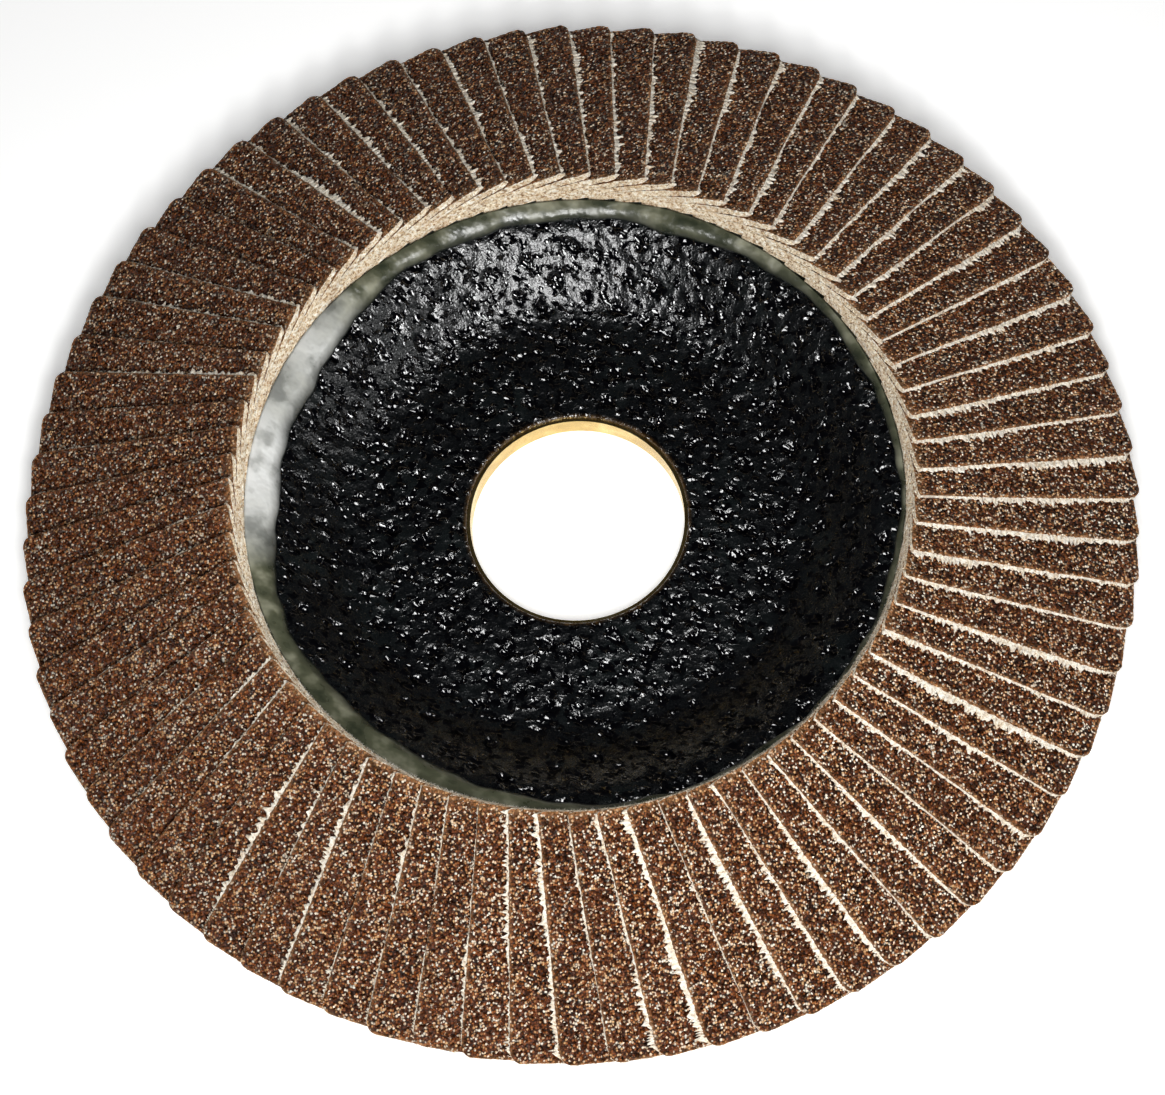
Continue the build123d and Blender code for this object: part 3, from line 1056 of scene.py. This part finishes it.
def ring_material():
    """Pressed metal whose golden colour is a painted reflection of golden wood, with drawn lines round the
    bore and a few dull patches.
    """
    nodes = Nodes("eyelet_metal")
    place = nodes.add("SeparateXYZ", {"Vector": nodes.position()})
    rise = nodes.math("MULTIPLY", place.outputs["Z"], 1 / (DRAWN_LINE * MM))
    lines = nodes.add("TexNoise", {"W": rise, "Detail": 2.0}, noise_dimensions="1D")
    patches = nodes.noise(DULL_PATCH, detail=3)
    # Painted reflection: the golden colours stand in for golden wood mirrored in the metal, not for the
    # metal's own colour.
    colour = nodes.ramp(nodes.between(patches, 0.3, 0.7), [
        (0.0, paint(178, 148, 84)),
        (0.6, paint(204, 176, 108)),
        (1.0, paint(222, 200, 138)),
    ])
    roughness = nodes.between(lines.outputs["Fac"], 0.3, 0.7, 0.18, 0.34)
    normal = nodes.bump(lines.outputs["Fac"], LINE_DEPTH)
    return nodes.finish(Base_Color=colour, Metallic=1.0, Roughness=roughness, Normal=normal)


def dress_ring(material):
    """The eyelet keeps its CAD shape and takes the metal."""
    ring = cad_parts["centre_ring"]
    ring.data.materials.clear()
    ring.data.materials.append(material)


# Camera, floor and light

PHOTO_WIDTH = 1165
SENSOR_WIDTH = 36.0
FOCAL_PIXELS = 2824.0
CAMERA_DISTANCE = 289.5
CAMERA_TILT = 21.63  # from straight above towards the near side
CAMERA_ROLL = -8.86
CAMERA_ASIDE = (-0.72, 3.99)
AIM_HEIGHT = 5.5


def make_camera():
    """The photograph's viewpoint, worked out from the rim, the flap roots and the bore."""
    tilt, roll = radians(CAMERA_TILT), radians(CAMERA_ROLL)
    back = Vector((0, -sin(tilt), cos(tilt)))
    right = Vector((1, 0, 0))
    up = back.cross(right)
    across = right * cos(roll) + up * sin(roll)
    upward = up * cos(roll) - right * sin(roll)
    place = back * CAMERA_DISTANCE - across * CAMERA_ASIDE[0] - upward * CAMERA_ASIDE[1]
    place = (place + Vector((0, 0, AIM_HEIGHT))) * MM
    camera = bpy.data.objects.new("camera", bpy.data.cameras.new("camera"))
    camera.data.sensor_width = SENSOR_WIDTH
    camera.data.lens = SENSOR_WIDTH * FOCAL_PIXELS / PHOTO_WIDTH
    camera.data.clip_start, camera.data.clip_end = 0.01, 20
    camera.matrix_world = Matrix.Translation(place) @ Matrix((across, upward, back)).transposed().to_4x4()
    bpy.context.scene.collection.objects.link(camera)
    bpy.context.scene.camera = camera


def make_lamp(name, azimuth, elevation, distance, size, power):
    """A square soft box that looks at the disc. Azimuth runs anticlockwise from +X. Lengths are in metres."""
    turn, rise = radians(azimuth), radians(elevation)
    place = Vector((cos(turn) * cos(rise), sin(turn) * cos(rise), sin(rise)))
    light = bpy.data.lights.new(name, "AREA")
    light.size = size
    light.energy = power
    lamp = bpy.data.objects.new(name, light)
    lamp.location = place * distance
    lamp.rotation_euler = place.to_track_quat("Z", "Y").to_euler()
    lamp.visible_camera = False
    bpy.context.scene.collection.objects.link(lamp)


# The floor glows for the camera and in reflections, as (distance from the middle in metres, strength)
NEAR_GLOW = (0.10, 0.45)
FAR_GLOW = (0.60, 0.90)


def make_floor():
    """A large pale floor under the disc."""
    nodes = Nodes("floor")
    shade = nodes.noise(400.0, detail=1)
    colour = nodes.ramp(shade, [(0.3, paint(240, 240, 239)), (0.7, paint(246, 246, 245))])
    path = nodes.add("LightPath")
    seen = nodes.math("MAXIMUM", path.outputs["Is Camera Ray"], path.outputs["Is Glossy Ray"])
    seen = nodes.math("MAXIMUM", seen, path.outputs["Is Transmission Ray"])
    away = nodes.add("VectorMath", {0: nodes.position()}, operation="LENGTH").outputs["Value"]
    (near, near_glow), (far, far_glow) = NEAR_GLOW, FAR_GLOW
    lift = nodes.math("MULTIPLY", seen, nodes.between(away, near, far, near_glow, far_glow))
    material = nodes.finish(
        Base_Color=colour,
        Roughness=0.9,
        Specular_IOR_Level=0.1,
        Emission_Color=(1, 1, 1, 1),
        Emission_Strength=lift,
    )
    reach = 3000.0
    corners = [(-reach, -reach, 0), (reach, -reach, 0), (reach, reach, 0), (-reach, reach, 0)]
    floor = make_piece("floor", corners, [(0, 1, 2, 3)], [material], [0])


def make_world(zenith, horizon):
    """A studio that is darker overhead than round the sides."""
    world = bpy.data.worlds.new("studio")
    world.use_nodes = True
    bpy.context.scene.world = world
    tree = world.node_tree
    direction = tree.nodes.new("ShaderNodeTexCoord")
    parts = tree.nodes.new("ShaderNodeSeparateXYZ")
    ramp = tree.nodes.new("ShaderNodeValToRGB")
    ramp.color_ramp.elements[0].color = (horizon, horizon, horizon, 1)
    ramp.color_ramp.elements[1].color = (zenith, zenith, zenith, 1)
    ramp.color_ramp.elements[1].position = 0.75
    tree.links.new(direction.outputs["Generated"], parts.inputs[0])
    tree.links.new(parts.outputs["Z"], ramp.inputs["Fac"])
    tree.links.new(ramp.outputs["Color"], tree.nodes["Background"].inputs["Color"])


make_camera()
make_floor()
make_world(zenith=0.015, horizon=0.055)
make_lamp("key", azimuth=268, elevation=40, distance=0.38, size=0.06, power=0.60)
make_lamp("front", azimuth=268, elevation=61, distance=0.17, size=0.07, power=0.25)
make_lamp("side", azimuth=335, elevation=30, distance=0.55, size=0.06, power=0.27)
bpy.context.scene.view_settings.view_transform = "Standard"

make_flaps(grit_material(), cloth_material())
make_plate(plate_material())
make_bead(adhesive_material())
dress_ring(ring_material())
